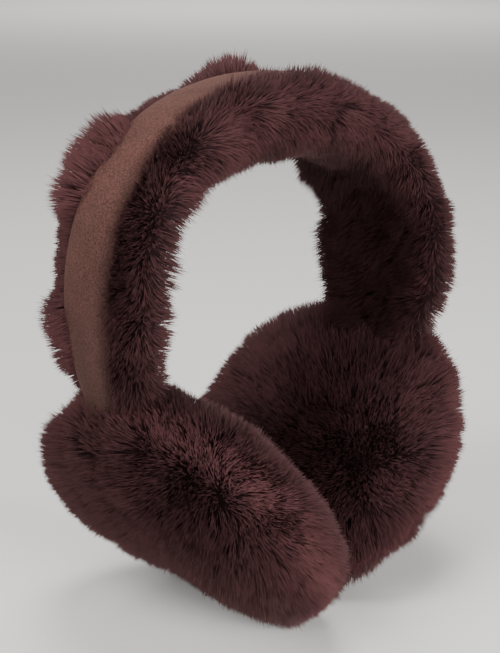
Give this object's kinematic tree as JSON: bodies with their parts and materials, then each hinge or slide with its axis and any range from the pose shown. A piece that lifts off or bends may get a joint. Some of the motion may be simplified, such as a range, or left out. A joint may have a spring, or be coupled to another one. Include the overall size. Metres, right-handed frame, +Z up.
{
  "type": "fur earmuffs",
  "caption": "Shearling earmuffs: a sprung band with a suede face and a deep wool lining, and a round wool pad at each end, standing on the pads.",
  "frame": {"origin": "on the floor under the middle of the band, at the bottom centre of the box round the earmuffs", "axes": "+Z up towards the top of the band, +X to the right pad, +Y towards the back of the head"},
  "size_m": [0.1624, 0.1319, 0.1894],
  "materials": {
    "suede": "matte brown suede with a fine short nap",
    "wool": "dark brown dyed shearling wool, soft and deep, in small clumps"
  },
  "bodies": {
    "root": {"suede_band": "suede", "band_lining": "wool", "left_pad": "wool", "right_pad": "wool"}
  },
  "joints": []
}
